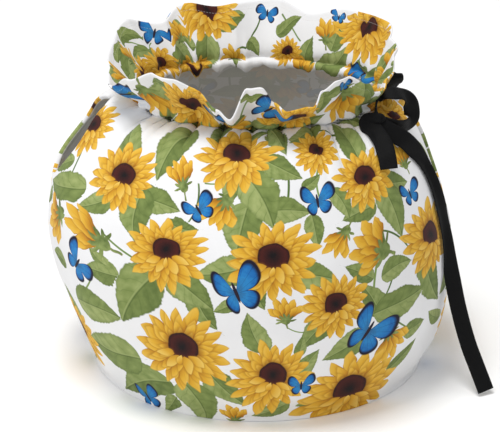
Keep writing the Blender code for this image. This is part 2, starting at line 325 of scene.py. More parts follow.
def frill_relief(angle, place):
    """The frill's puffs over the drawstring, and its waves, which grow towards the rim."""
    turn = np.radians(angle)
    drift = 1.3 * np.sin(2 * turn + 1.0) + 0.9 * np.sin(3 * turn + 0.3)
    wave = 1.6 * np.abs(np.sin((FRILL_WAVES * turn + drift) / 2)) ** 1.1 - 1.1
    fade = 1.0 - smooth_step(0.0, 0.8, place)
    near_neck = GATHER_DEPTH * gathers(angle) * fade
    near_neck = near_neck + FINE_PUCKER_DEPTH * fine_puckers(angle) * hump(place, FRILL_PUCKER_REACH)
    puff = hump(place - PUFF_PLACE, PUFF_HALF_WIDTH)
    near_neck = near_neck + NECK_PUFF * puff * (1.0 + 0.5 * gathers(angle))
    near_neck = near_neck - NECK_GROOVE * hump(place, FRILL_GROOVE_REACH)
    return near_neck + FRILL_WAVE_DEPTH * wave * smooth_step(0.0, 0.5, place) * (1.0 - 0.35 * place)


def rim_fold(angle, column):
    """How far the rim drops or is pulled inwards at the angles, smooth between the table's rows."""
    turn = angle_between(angle, 0.0)
    row = np.clip(np.searchsorted(RIM_FOLDS[:, 0], turn, side="right") - 1, 0, len(RIM_FOLDS) - 2)
    start, end = RIM_FOLDS[row], RIM_FOLDS[row + 1]
    share = smooth_step(start[..., 0], end[..., 0], turn)
    return start[..., column] + (end[..., column] - start[..., column]) * share


def body_point(angle, place):
    """Points of the body's cloth, from 0 at the hem to 1 at the neck."""
    base = section_point(BODY_SECTIONS, angle, place)
    return base + outward(BODY_SECTIONS, angle, place) * body_relief(angle, place)[..., None]


def frill_point(angle, place):
    """Points of the frill's cloth, from 0 at the neck to 1 at the rim."""
    base = section_point(FRILL_SECTIONS, angle, place)
    point = base + outward(FRILL_SECTIONS, angle, place) * frill_relief(angle, place)[..., None]
    plan = unit(point * (1.0, 1.0, 0.0))
    point[..., 2] -= rim_fold(angle, 1) * smooth_step(0.15, 1.0, place)
    return point - plan * (rim_fold(angle, 2) * smooth_step(0.05, 0.9, place))[..., None]


def slot_reach(slot, side, height):
    """How far a side slot is open from the seam to the front or back, 0 where it is sewn shut."""
    share = np.clip((height - slot["low"]) / (slot["high"] - slot["low"]), 0.0, 1.0)
    return slot[side] * np.sin(np.pi * share) ** 0.7


def edge_shift(slot, side, point, is_frill):
    """How many degrees a panel's side edge lies from the side seam at the given points' heights."""
    opening = 0.0 if is_frill else slot_reach(slot, side, point[..., 2])
    return np.degrees((opening + SEAM_GAP / 2) / np.hypot(point[..., 0], point[..., 1]))


# Where each printed motif lies: its kind, degrees round the cosy, millimetres up the cloth from the
# hem or the neck, size in millimetres, turn in degrees, and how flat it is drawn.
BODY_PRINT = (
    # kind, angle, up, size, turn, flatness
    ("bloom", -168, 174, 20, 10, 0.95),
    ("bloom", -137, 156, 25, -8, 0.86),
    ("bloom", -116, 115, 26, 10, 0.84),
    ("bloom", -112, 54, 28, -10, 1.08),
    ("bloom", -98, 180, 23, 2, 0.98),
    ("bloom", -68, 179, 14, -14, 1.06),
    ("bloom", -51, 155, 21, 10, 0.88),
    ("bloom", -86, 115, 26, -4, 0.94),
    ("bloom", -68, 84, 21, 12, 1.0),
    ("bloom", -86, 37, 24, -10, 1.15),
    ("bloom", -60, 17, 32, 6, 0.98),
    ("bloom", -27, 103, 31, -12, 0.72),
    ("bloom", -164, 30, 25, 8, 0.9),
    ("bloom", -4, 44, 26, 20, 0.9),
    ("bloom", -17, 180, 15, 150, 0.8),
    ("butterfly", -148, 90, 19, -38, 0.82),
    ("butterfly", -108, 146, 14, 35, 0.95),
    ("butterfly", -96, 96, 22, 22, 1.02),
    ("butterfly", -71, 149, 15, 2, 0.96),
    ("butterfly", -57, 61, 26, -38, 0.95),
    ("butterfly", -77, 30, 11, 3, 1.15),
    ("butterfly", -32, 134, 15, 0, 0.75),
    ("butterfly", -130, 6, 14, 20, 1.05),
    ("butterfly", -12, 12, 14, 12, 1.0),
    ("leaf", -141, 179, 20, 110, 0.9),
    ("leaf", -122, 181, 22, -100, 1.0),
    ("leaf", -163, 131, 27, -158, 0.95),
    ("leaf", -138, 101, 11, 160, 0.8),
    ("leaf", -170, 143, 15, -140, 0.9),
    ("leaf", -144, 134, 17, -145, 1.05),
    ("leaf", -127, 135, 19, -85, 1.3),
    ("under_leaf", -121, 147, 15, -10, 1.2),
    ("under_leaf", -112, 134, 10, -10, 1.3),
    ("under_leaf", -95, 134, 18, -100, 1.3),
    ("leaf", -99, 109, 19, -165, 1.0),
    ("leaf", -125, 84, 24, -125, 1.25),
    ("leaf", -109, 95, 17, -35, 1.2),
    ("under_leaf", -105, 85, 16, -65, 1.05),
    ("leaf", -137, 93, 15, -175, 1.05),
    ("leaf", -142, 65, 24, 5, 1.0),
    ("under_leaf", -161, 84, 11, 180, 1.1),
    ("leaf", -141, 36, 26, -175, 1.15),
    ("under_leaf", -130, 17, 26, -150, 1.0),
    ("leaf", -120, 7, 11, -120, 1.0),
    ("leaf", -110, 12, 19, -75, 1.3),
    ("under_leaf", -100, 27, 17, -50, 1.15),
    ("leaf", -99, 87, 8, -150, 1.1),
    ("leaf", -174, 112, 10, -135, 1.0),
    ("leaf", -99, 158, 10, -100, 1.1),
    ("leaf", -90, 154, 21, -62, 1.15),
    ("leaf", -82, 171, 14, -35, 1.15),
    ("under_leaf", -81, 145, 14, -5, 1.2),
    ("leaf", -72, 161, 7, 30, 1.1),
    ("leaf", -73, 131, 11, -85, 1.1),
    ("leaf", -63, 145, 11, -70, 1.1),
    ("under_leaf", -57, 137, 13, -170, 1.15),
    ("leaf", -43, 131, 18, -80, 1.25),
    ("leaf", -52, 182, 16, 100, 1.0),
    ("under_leaf", -38, 145, 13, -15, 1.2),
    ("leaf", -46, 98, 13, 5, 1.1),
    ("leaf", -60, 102, 11, 150, 1.1),
    ("under_leaf", -74, 104, 15, -15, 1.15),
    ("under_leaf", -56, 83, 14, 120, 1.15),
    ("leaf", -44, 74, 22, 5, 1.05),
    ("leaf", -29, 79, 25, -65, 1.05),
    ("leaf", -37, 51, 11, 0, 1.2),
    ("leaf", -91, 70, 15, 110, 1.1),
    ("under_leaf", -74, 68, 13, -135, 1.25),
    ("leaf", -64, 54, 16, -155, 1.2),
    ("leaf", -40, 32, 14, 35, 0.85),
    ("leaf", -78, 61, 8, 80, 0.9),
    ("under_leaf", -76, 46, 13, 60, 1.0),
    ("leaf", -71, 14, 13, -170, 1.05),
    ("leaf", -86, 10, 12, -155, 1.05),
    ("under_leaf", -90, 96, 11, -75, 1.1),
    ("leaf", -82, 192, 13, -75, 1.1),
    ("leaf", -71, 194, 13, -155, 1.0),
    ("leaf", -106, 200, 11, -115, 1.0),
    ("leaf", -45, 196, 12, -70, 1.0),
    ("leaf", -92, 199, 9, 20, 1.0),
    ("leaf", -161, 50, 15, 115, 0.9),
    ("leaf", -176, 60, 19, 60, 0.9),
    ("leaf", -10, 76, 21, 60, 0.9),
    ("leaf", -14, 150, 17, 120, 0.95),
    ("leaf", -24, 168, 11, -20, 1.0),
    ("leaf", -17, 66, 12, -150, 1.0),
    ("leaf", -24, 48, 12, 150, 0.9),
    ("leaf", -170, 10, 14, 20, 1.0),
    ("bud", -116, 167, 14, 115, 0.85),
    ("bud", -102, 145, 14, -120, 1.0),
    ("bud", -163, 108, 17, -150, 1.0),
    ("bud", -145, 113, 27, 170, 0.66),
    ("bud", -55, 116, 16, 150, 1.35),
    ("bud", -66, 122, 13, -130, 0.95),
    ("bud", -83, 85, 10, 100, 1.15),
    ("bud", -47, 47, 14, -70, 1.1),
    ("bud", -98, 6, 10, 95, 1.15),
    ("bud", -29, 157, 10, 95, 1.0),
    ("bud", -6, 118, 16, 60, 1.0),
    ("bud", -178, 88, 14, -30, 1.0),
    ("stem", -162, 152, 14, -75, 1.0),
    ("stem", -147, 128, 15, 25, 1.0),
    ("stem", -132, 112, 13, -20, 1.0),
    ("stem", -110, 150, 12, -95, 1.0),
    ("stem", -102, 164, 10, 10, 1.0),
    ("stem", -81, 160, 15, -95, 1.0),
    ("stem", -68, 162, 13, -105, 1.0),
    ("stem", -61, 133, 10, 55, 1.0),
    ("stem", -46, 115, 14, -35, 1.0),
    ("stem", -54, 92, 17, -95, 1.0),
    ("stem", -49, 94, 13, -110, 1.0),
    ("stem", -78, 72, 8, -10, 1.0),
    ("stem", -45, 60, 12, -40, 1.0),
    ("stem", -75, 10, 8, -100, 1.0),
    ("stem", -146, 76, 14, 45, 1.0),
    ("stem", -60, 189, 14, -35, 1.0),
)
FRILL_OUTSIDE_PRINT = (
    # kind, angle, up, size, turn, flatness
    ("bloom", -119, 21, 18, -10, 1.15),
    ("bloom", -76, 22, 17, 8, 1.15),
    ("bloom", -14, 14, 14, 10, 0.9),
    ("butterfly", -156, 23, 16, -84, 1.1),
    ("butterfly", -106, 18, 12, 30, 1.2),
    ("butterfly", -86, 24, 14, -30, 1.25),
    ("butterfly", -54, 35, 8, 10, 1.0),
    ("leaf", -133, 19, 21, -105, 1.0),
    ("leaf", -127, 34, 12, -15, 0.9),
    ("bud", -112, 34, 12, -165, 0.9),
    ("leaf", -112, 11, 11, -75, 0.9),
    ("leaf", -109, 22, 10, 50, 0.8),
    ("leaf", -91, 36, 9, 0, 0.9),
    ("leaf", -99, 12, 10, -85, 0.9),
    ("leaf", -42, 19, 20, -75, 1.0),
    ("leaf", -80, 3, 9, -145, 1.0),
    ("leaf", -67, 8, 10, 25, 0.9),
    ("leaf", -64, 26, 12, -85, 0.9),
    ("leaf", -57, 33, 12, 15, 0.9),
    ("leaf", -93, 6, 12, -170, 1.0),
    ("leaf", -124, 4, 13, -160, 1.0),
    ("leaf", -158, 22, 13, -150, 0.9),
    ("leaf", -174, 14, 14, 100, 0.9),
    ("leaf", -30, 30, 12, 150, 0.9),
    ("bud", -141, 18, 17, -95, 0.85),
    ("bud", -50, 18, 17, -85, 0.85),
    ("bud", -24, 14, 17, -25, 1.0),
    ("bud", -84, 12, 11, 110, 0.9),
    ("bud", -101, 6, 12, 20, 0.9),
    ("bud", -165, 8, 13, 120, 0.9),
    ("stem", -95, 22, 15, -105, 1.0),
    ("stem", -108, 28, 16, -30, 1.0),
    ("stem", -68, 20, 12, -85, 1.0),
)
FRILL_INSIDE_PRINT = (
    # kind, angle, up, size, turn, flatness
    ("bloom", 111, 37, 19, 10, 0.95),
    ("bloom", 143, 11, 14, 20, 0.75),
    ("bloom", 160, 10, 13, -10, 0.75),
    ("bloom", 76, 11, 10, 5, 0.95),
    ("bloom", 36, 32, 24, -8, 0.76),
    ("bloom", 122, 2, 12, 0, 0.75),
    ("bloom", 3, 9, 15, 10, 0.75),
    ("butterfly", 139, 29, 15, 35, 0.75),
    ("butterfly", 86, 33, 10, 5, 0.85),
    ("butterfly", 54, 36, 7, 0, 0.85),
    ("butterfly", 31, 3, 17, 12, 0.6),
    ("leaf", 124, 25, 10, -125, 1.0),
    ("under_leaf", 114, 10, 13, -85, 1.2),
    ("leaf", 101, 31, 11, 140, 1.0),
    ("under_leaf", 127, 12, 12, -130, 1.1),
    ("leaf", 66, 11, 13, 100, 0.9),
    ("leaf", 53, 26, 11, 95, 1.0),
    ("under_leaf", 52, 9, 14, 130, 1.1),
    ("leaf", 153, 34, 10, -175, 1.0),
    ("leaf", 170, 20, 13, -40, 1.0),
    ("leaf", 76, 28, 10, 140, 0.9),
    ("leaf", 8, 26, 11, 105, 0.9),
    ("leaf", 152, 21, 10, -10, 0.9),
    ("leaf", 168, 31, 9, 155, 0.9),
    ("leaf", 21, 7, 14, 10, 1.0),
    ("leaf", 92, 14, 7, -120, 1.0),
    ("bud", 128, 26, 9, 60, 1.0),
    ("bud", 164, 25, 9, 105, 1.0),
    ("bud", 68, 3, 7, 90, 1.2),
    ("bud", 58, 26, 10, 80, 1.0),
    ("bud", 38, 5, 9, -70, 1.2),
    ("bud", 102, 8, 8, 75, 1.1),
    ("bud", 4, 24, 11, 80, 1.0),
    ("stem", 75, 27, 11, 50, 1.0),
    ("stem", 94, 22, 12, 130, 1.0),
    ("stem", 150, 28, 10, 20, 1.0),
)
PRINT = {"body": BODY_PRINT, "frill_outside": FRILL_OUTSIDE_PRINT, "frill_inside": FRILL_INSIDE_PRINT}

# The printed layers from the lowest to the highest, with the half length and half width that a
# motif of size 1 takes up, turned to lie along its own axis.
PRINT_LAYERS = {
    "stem": (1.05, 0.45),
    "under_leaf": (1.08, 0.62),
    "leaf": (1.08, 0.62),
    "bud": (1.15, 1.00),
    "bloom": (1.15, 1.15),
    "butterfly": (1.20, 1.05),
}
OFF_THE_PRINT = (9.0, 9.0, 0.0)
FARTHEST_CORNER = 1.25
CODES = 32
CODE_STEP = 13


def print_spots(rows, kind, angle, up, pace):
    """Each face corner's place in its face's nearest motif of one kind, with the motif's own number.

    angle, up and pace hold a row of corners for each face: degrees round the cosy, metres up the
    cloth, and metres of cloth for each radian round it."""
    half_long, half_wide = PRINT_LAYERS[kind]
    nearest = np.full(angle.shape[0], FARTHEST_CORNER)
    spots = np.tile(np.array(OFF_THE_PRINT), (*angle.shape, 1))
    for number, (row_kind, middle, height, size, turn, flatness) in enumerate(rows):
        if row_kind != kind:
            continue
        along = np.radians(angle_between(angle, middle)) * pace
        rise = up - height / 1000.0
        cosine, sine = math.cos(math.radians(turn)), math.sin(math.radians(turn))
        x = (along * cosine + rise * sine) * 1000.0 / size
        y = (rise * cosine - along * sine) * 1000.0 / (size * flatness)
        far = np.mean(np.hypot(x / half_long, y / half_wide), axis=1)
        code = np.full_like(x, number * CODE_STEP % CODES / CODES)
        nearer = far < nearest
        nearest[nearer] = far[nearer]
        spots[nearer] = np.stack((x, y, code), axis=-1)[nearer]
    return spots


def store(mesh, name, domain, values):
    """Keeps numbers or vectors on the mesh's points or corners for its shader."""
    kind = "FLOAT_VECTOR" if values.ndim == 2 else "FLOAT"
    field = "vector" if values.ndim == 2 else "value"
    layer = mesh.attributes.new(name, kind, domain)
    layer.data.foreach_set(field, values.reshape(-1).astype(np.float32))


def cloth_grid(side, start_angle, first_slot, last_slot):
    """The middle of a panel's cloth in rows from hem to rim: its points, their degrees round the cosy
    and the metres of cloth for each radian round it."""
    rows = [(False, row / BODY_ROWS) for row in range(BODY_ROWS + 1)]
    rows += [(True, row / FRILL_ROWS) for row in range(1, FRILL_ROWS + 1)]
    columns = np.arange(PANEL_COLUMNS + 1) / PANEL_COLUMNS
    points, smooth, angles = [], [], []
    for is_frill, place in rows:
        point_of = frill_point if is_frill else body_point
        sections = FRILL_SECTIONS if is_frill else BODY_SECTIONS
        ends = np.array((start_angle, start_angle + 180.0))
        end_points = point_of(ends, np.full(2, place))
        first = ends[0] + edge_shift(first_slot, side, end_points[0], is_frill)
        last = ends[1] - edge_shift(last_slot, side, end_points[1], is_frill)
        angle = first + (last - first) * columns
        points.append(point_of(angle, np.full(len(angle), place)))
        smooth.append(section_point(sections, angle, np.full(len(angle), place)))
        angles.append(angle)
    angles = np.array(angles)
    pace = np.linalg.norm(np.gradient(np.array(smooth), axis=1), axis=2)
    return np.array(points), angles, pace / np.radians(np.gradient(angles, axis=1))


def sheet_mesh(name, points, half):
    """A closed mesh that stands half a thickness off each side of the cloth's middle, and its faces:
    all of the outside, all of the inside, then the edge round them."""
    normals = unit(np.cross(np.gradient(points, axis=1), np.gradient(points, axis=0)))
    outer = points + normals * half[..., None]
    inner = points - normals * half[..., None]
    count = half.size
    number = np.arange(count).reshape(half.shape)
    quads = np.stack((number[:-1, :-1], number[:-1, 1:], number[1:, 1:], number[1:, :-1]), axis=-1)
    quads = quads.reshape(-1, 4)
    border = np.concatenate((number[0, :-1], number[:-1, -1], number[-1, :0:-1], number[:0:-1, 0]))
    following = np.roll(border, -1)
    edge_faces = np.stack((border, border + count, following + count, following), axis=-1)
    vertices = np.concatenate((outer.reshape(-1, 3), inner.reshape(-1, 3))) + HEM_CENTRE
    faces = np.concatenate((quads, quads[:, ::-1] + count, edge_faces))
    mesh = bpy.data.meshes.new(name)
    mesh.from_pydata(vertices.tolist(), [], faces.tolist())
    mesh.shade_smooth()
    return mesh, faces


def keep_print(mesh, faces, angles, up, pace):
    """Stores where each face corner lies in the motifs, and which faces show the wrong side."""
    grid_spot = faces % angles.size
    in_frill = grid_spot.min(axis=1) // (PANEL_COLUMNS + 1) >= BODY_ROWS
    side_faces = (BODY_ROWS + FRILL_ROWS) * PANEL_COLUMNS
    inside = np.zeros(len(faces), dtype=bool)
    inside[side_faces:2 * side_faces] = True
    zones = {
        # zone: its faces, degrees that its print is turned by, row that its print is measured from
        "body": (~in_frill, 0.0, 0),
        "frill_outside": (in_frill & ~inside, 0.0, BODY_ROWS),
        "frill_inside": (in_frill & inside, 180.0, BODY_ROWS),
    }
    for kind in PRINT_LAYERS:
        spots = np.zeros((len(faces), 4, 3))
        for zone, (here, turned, base_row) in zones.items():
            spot = grid_spot[here]
            angle = angles.ravel()[spot] + turned
            height = (up - up[base_row]).ravel()[spot]
            spots[here] = print_spots(PRINT[zone], kind, angle, height, pace.ravel()[spot])
        store(mesh, "print_" + kind, "CORNER", spots.reshape(-1, 3))
    store(mesh, "wrong_side", "CORNER", np.repeat(np.where(inside & ~in_frill, 1.0, 0.0), 4))


def make_cloth(name, side, start_angle, first_slot, last_slot):
    """A panel of cloth from hem to rim as a closed sheet, and the area that it was cut to."""
    points, angles, pace = cloth_grid(side, start_angle, first_slot, last_slot)
    steps = np.linalg.norm(np.diff(points, axis=0), axis=2)
    up = np.concatenate((np.zeros((1, PANEL_COLUMNS + 1)), np.cumsum(steps, axis=0)))
    from_rim = up[-1] - up
    thinning = smooth_step(0.0, THINNING_HEIGHT, up - up[BODY_ROWS])
    half = (WALL_THICKNESS + (FRILL_THICKNESS - WALL_THICKNESS) * thinning) / 2
    for edge in (np.s_[0, :], np.s_[-1, :], np.s_[:, 0], np.s_[:, -1]):
        half[edge] *= EDGE_SHARE
    half -= SEAM_SINK * hump(from_rim - RIM_SEAM, SEAM_HALF_WIDTH)
    mesh, faces = sheet_mesh(name, points, half)

    keep_print(mesh, faces, angles - start_angle - 180.0, up, pace)
    flat_spot = np.stack((np.radians(angles) * CLOTH_RADIUS, up, np.zeros_like(up)), axis=-1)
    store(mesh, "cloth", "POINT", np.tile(flat_spot.reshape(-1, 3), (2, 1)))
    store(mesh, "from_rim", "POINT", np.tile(from_rim.reshape(-1), 2))
    piece = bpy.data.objects.new(name, mesh)
    bpy.context.scene.collection.objects.link(piece)
    wide = np.linalg.norm(np.diff(points, axis=1), axis=2)
    area = float((steps[:, 1:] * (wide[:-1] + wide[1:]) / 2).sum())
    return piece, area


class Wire:
    """A value that runs through a node tree; arithmetic on it adds the nodes that work it out."""

    def __init__(self, tree, socket):
        self.tree = tree
        self.socket = socket

    def math(self, operation, *others, clamp=False):
        node = self.tree.nodes.new("ShaderNodeMath")
        node.operation = operation
        node.use_clamp = clamp
        for socket, value in zip(node.inputs, (self, *others)):
            plug(self.tree, socket, value)
        return Wire(self.tree, node.outputs[0])

    def __add__(self, other):
        return self.math("ADD", other)

    def __sub__(self, other):
        return self.math("SUBTRACT", other)

    def __mul__(self, other):
        return self.math("MULTIPLY", other)

    def __truediv__(self, other):
        return self.math("DIVIDE", other)

    def __pow__(self, other):
        return self.math("POWER", other)

    __radd__ = __add__
    __rmul__ = __mul__

    def size(self):
        return self.math("ABSOLUTE")

    def below(self, limit, softness=0.02):
        """1 where the value lies below the limit and 0 above it, with a soft edge."""
        return ((self - limit) * (-1.0 / softness)).math("ADD", 0.5, clamp=True)


def plug(tree, socket, value):
    """Joins a wire to a socket, or sets the socket to a plain number, vector or colour."""
    if isinstance(value, Wire):
        tree.links.new(value.socket, socket)
    else:
        socket.default_value = value


def new_group(name, inputs, outputs):
    """A shader node group with its input wires and the node that takes its outputs."""
    group = bpy.data.node_groups.new(name, "ShaderNodeTree")
    for label, kind in inputs:
        group.interface.new_socket(label, in_out="INPUT", socket_type=kind)
    for label, kind in outputs:
        group.interface.new_socket(label, in_out="OUTPUT", socket_type=kind)
    entry = group.nodes.new("NodeGroupInput")
    wires = [Wire(group, socket) for socket in list(entry.outputs)[:len(inputs)]]
    return group, wires, group.nodes.new("NodeGroupOutput")


def use_group(tree, group, values):
    """A node of a group with its inputs joined; gives its output wires."""
    node = tree.nodes.new("ShaderNodeGroup")
    node.node_tree = group
    for socket, value in zip(node.inputs, values):
        plug(tree, socket, value)
    return [Wire(tree, socket) for socket in node.outputs]


def split(vector):
    """The three numbers of a vector wire."""
    node = vector.tree.nodes.new("ShaderNodeSeparateXYZ")
    plug(vector.tree, node.inputs[0], vector)
    return [Wire(vector.tree, socket) for socket in node.outputs]


def vector_of(tree, *values):
    """A vector wire from three numbers."""
    node = tree.nodes.new("ShaderNodeCombineXYZ")
    for socket, value in zip(node.inputs, values):
        plug(tree, socket, value)
    return Wire(tree, node.outputs[0])


def stored(tree, name, output):
    """A wire of the numbers or vectors that store kept on the mesh."""
    node = tree.nodes.new("ShaderNodeAttribute")
    node.attribute_name = name
    return Wire(tree, node.outputs[output])


def noise(vector, scale, detail=2.0):
    """Smooth noise from 0 to 1 over a vector wire."""
    node = vector.tree.nodes.new("ShaderNodeTexNoise")
    plug(vector.tree, node.inputs["Vector"], vector)
    node.inputs["Scale"].default_value = scale
    node.inputs["Detail"].default_value = detail
    return Wire(vector.tree, node.outputs["Fac"])


def mixed(share, low, high):
    """A colour between low and high."""
    node = share.tree.nodes.new("ShaderNodeMix")
    node.data_type = "RGBA"
    colour_sockets = [socket for socket in node.inputs if socket.type == "RGBA"]
    plug(share.tree, node.inputs[0], share)
    plug(share.tree, colour_sockets[0], low)
    plug(share.tree, colour_sockets[1], high)
    return Wire(share.tree, next(socket for socket in node.outputs if socket.type == "RGBA"))


def ramp(share, stops):
    """A colour from a ramp of (position, colour) stops."""
    node = share.tree.nodes.new("ShaderNodeValToRGB")
    plug(share.tree, node.inputs[0], share)
    elements = node.color_ramp.elements
    while len(elements) < len(stops):
        elements.new(0.5)
    for element, (position, colour) in zip(elements, stops):
        element.position = position
        element.color = (*colour, 1.0)
    return Wire(share.tree, node.outputs[0])


def new_motif(name):
    """A group that draws one printed motif: its place on the cloth in, its colour and mask out."""
    colour_and_mask = (("Color", "NodeSocketColor"), ("Mask", "NodeSocketFloat"))
    group, (spot,), out = new_group(name, (("Spot", "NodeSocketVector"),), colour_and_mask)
    return group, split(spot), out


def finish_motif(group, out, colour, mask):
    """Joins a motif's colour and mask to its group's outputs."""
    plug(group, out.inputs["Color"], colour)
    plug(group, out.inputs["Mask"], mask)


# One ring of pointed petals: lighter towards the tips, shaded where a petal goes under the next.
petals, (spot, petal_count, reach, dip, seed), petals_out = new_group(
    "petals",
    (("Spot", "NodeSocketVector"), ("Count", "NodeSocketFloat"), ("Reach", "NodeSocketFloat"),
     ("Dip", "NodeSocketFloat"), ("Seed", "NodeSocketFloat")),
    (("Color", "NodeSocketColor"), ("Mask", "NodeSocketFloat"), ("Shade", "NodeSocketFloat"),
     ("Bearing", "NodeSocketFloat")),
)
x, y, _ = split(spot)
radius = (x * x + y * y).math("SQRT")
sector = y.math("ARCTAN2", x) * (0.5 / math.pi) * petal_count + seed
petal = sector.math("FLOOR").math("FLOORED_MODULO", petal_count)
bearing = (sector.math("FLOOR") + 0.5 - seed) / petal_count * (2.0 * math.pi)
chance = petals.nodes.new("ShaderNodeTexWhiteNoise")
chance.noise_dimensions = "1D"
plug(petals, chance.inputs["W"], petal + (seed * float(CODES)).math("ROUND"))
luck = Wire(petals, chance.outputs["Value"])
across = (sector.math("FRACT") - 0.5) * 2.0
lean = across + (luck - 0.5) * 0.5 * radius
length = reach * (luck * 0.20 + 0.84)
tip = length * ((lean.size() ** 1.30) * dip * -1.0 + 1.0)
along = radius / length
lit = along * 0.70 + across * 0.20 + luck * 0.14
middle_line = across.size().below(0.06, 0.08) * along.below(0.80, 0.3)
gap = (across.size() * -1.0).below(-0.88, 0.14)
edge = (tip - radius).below(0.02, 0.03)
petal_colour = ramp(lit, (
    (0.14, (0.30, 0.105, 0.008)),
    (0.36, (0.56, 0.255, 0.013)),
    (0.62, (0.76, 0.43, 0.034)),
    (0.98, (0.87, 0.60, 0.120)),
))
petal_colour = mixed(middle_line * 0.28, petal_colour, (0.50, 0.23, 0.012, 1.0))
petal_colour = mixed(gap * 0.60 + edge * 0.30, petal_colour, (0.33, 0.13, 0.010, 1.0))
plug(petals, petals_out.inputs["Color"], petal_colour)
plug(petals, petals_out.inputs["Mask"], (radius - tip).below(0.0, 0.025))
plug(petals, petals_out.inputs["Shade"], (radius - tip).below(0.04, 0.12))
plug(petals, petals_out.inputs["Bearing"], bearing.size())

# One short petal by itself, pointed at its tip.
lone_petal, (spot,), lone_petal_out = new_group(
    "lone_petal", (("Spot", "NodeSocketVector"),),
    (("Color", "NodeSocketColor"), ("Mask", "NodeSocketFloat"), ("Shade", "NodeSocketFloat")),
)
x, y, _ = split(spot)
along = (x * 0.5).math("ADD", 0.5, clamp=True)
breadth = (along * (along * -1.0 + 1.0) * 4.0) ** 0.85 * (along * -0.35 + 1.15) * 0.50
far = y.size() - breadth
lone_colour = ramp(along * 0.55 + y * 0.35 + 0.28, (
    (0.10, (0.42, 0.17, 0.010)),
    (0.45, (0.72, 0.39, 0.030)),
    (0.90, (0.89, 0.64, 0.150)),
))
lone_colour = mixed((far * -1.0).below(0.05, 0.08) * 0.45, lone_colour, (0.38, 0.15, 0.010, 1.0))
plug(lone_petal, lone_petal_out.inputs["Color"], lone_colour)
plug(lone_petal, lone_petal_out.inputs["Mask"], far.below(-0.03, 0.05) * x.size().below(1.0, 0.05))
plug(lone_petal, lone_petal_out.inputs["Shade"], far.below(0.10, 0.25) * x.size().below(1.05, 0.30))

# A sunflower: three rings of petals, a dark disc set a little high, and short petals before it.
bloom, (x, y, code), bloom_out = new_motif("bloom")
sway = vector_of(bloom, x, y, code * 9.0)
x = x + (noise(sway, 1.7) - 0.5) * 0.20
y = y + (noise(sway, 2.1) - 0.5) * 0.20
bloom_colour, bloom_mask = None, None
for ring_x, ring_y, ring_count, ring_reach, ring_dip, ring_seed in (
    (0.00, 0.00, 17.0, 1.10, 0.26, 0.0),
    (0.02, -0.02, 16.0, 0.97, 0.34, 0.5),
    (0.00, -0.04, 14.0, 0.80, 0.38, 0.9),
    (0.01, -0.02, 13.0, 0.60, 0.40, 0.3),
):
    ring_spot = vector_of(bloom, x - ring_x, y - ring_y, 0.0)
    ring_colour, ring_mask, ring_shade, _ = use_group(
        bloom, petals, (ring_spot, ring_count, ring_reach, ring_dip, code * 3.0 + ring_seed)
    )
    if bloom_colour is None:
        bloom_colour, bloom_mask = ring_colour, ring_mask
    else:
        bloom_colour = mixed(ring_shade * 0.42, bloom_colour, (0.36, 0.14, 0.008, 1.0))
        bloom_colour = mixed(ring_mask, bloom_colour, ring_colour)
disc_x = (x - 0.01) * 2.95
disc_y = (y - 0.09) * 2.85
disc_far = (disc_x * disc_x + disc_y * disc_y).math("SQRT")
disc_colour = ramp(disc_far + (noise(vector_of(bloom, x, y, code), 26.0) - 0.5) * 0.30, (
    (0.10, (0.006, 0.003, 0.004)),
    (0.34, (0.028, 0.005, 0.005)),
    (0.78, (0.066, 0.010, 0.007)),
    (1.00, (0.018, 0.004, 0.004)),
))
bloom_colour = mixed(disc_far.below(1.20, 0.35) * 0.7, bloom_colour, (0.28, 0.10, 0.008, 1.0))
bloom_colour = mixed(disc_far.below(1.0, 0.06), bloom_colour, disc_colour)
for petal_x, petal_y, petal_turn, petal_size in (
    (-0.34, -0.16, -165.0, 0.20),
    (0.33, -0.20, -30.0, 0.21),
    (-0.18, -0.32, -125.0, 0.23),
    (0.16, -0.34, -66.0, 0.24),
    (-0.02, -0.25, 80.0, 0.14),
):
    cosine, sine = math.cos(math.radians(petal_turn)), math.sin(math.radians(petal_turn))
    to_x, to_y = x - petal_x, y - petal_y
    petal_spot = vector_of(
        bloom,
        (to_x * cosine + to_y * sine) * (1.0 / petal_size),
        (to_y * cosine - to_x * sine) * (1.0 / petal_size),
        0.0,
    )
    lone_colour, lone_mask, lone_shade = use_group(bloom, lone_petal, (petal_spot,))
    bloom_colour = mixed(lone_shade * 0.35, bloom_colour, (0.30, 0.11, 0.008, 1.0))
    bloom_colour = mixed(lone_mask, bloom_colour, lone_colour)
finish_motif(bloom, bloom_out, bloom_colour, bloom_mask)

# A bud or a sunflower from the side: petals that fan out of a green cup with pointed sepals.
bud, (x, y, code), bud_out = new_motif("bud")
sway = vector_of(bud, x, y, code * 9.0)
x = x + (noise(sway, 2.0) - 0.5) * 0.22
y = y + (noise(sway, 2.4) - 0.5) * 0.22
fan_spot = vector_of(bud, (x + 0.66) * 0.74, y * 1.02, 0.0)
outer_colour, outer_mask, _, outer_bearing = use_group(
    bud, petals, (fan_spot, 13.0, 1.20, 0.24, code * 4.0)
)
inner_colour, inner_mask, inner_shade, inner_bearing = use_group(
    bud, petals, (fan_spot, 12.0, 0.96, 0.32, code * 4.0 + 0.45)
)
_, sepal_mask, sepal_shade, sepal_bearing = use_group(
    bud, petals, (vector_of(bud, x + 0.66, y, 0.0), 11.0, 0.56, 0.62, code * 4.0 + 0.7)
)
outer_mask = outer_mask * outer_bearing.below(1.10, 0.01)
inner_mask = inner_mask * inner_bearing.below(0.95, 0.01)
cup_far = (((x + 0.66) * 4.0) ** 2.0 + (y * 4.4) ** 2.0).math("SQRT")
stalk = y.size().below(0.045, 0.02) * (x + 1.0).size().below(0.24, 0.03)
sepal_mask = (sepal_mask * sepal_bearing.below(1.80, 0.01)).math("MAXIMUM", cup_far.below(1.0, 0.08))
sepal_mask = sepal_mask.math("MAXIMUM", stalk)
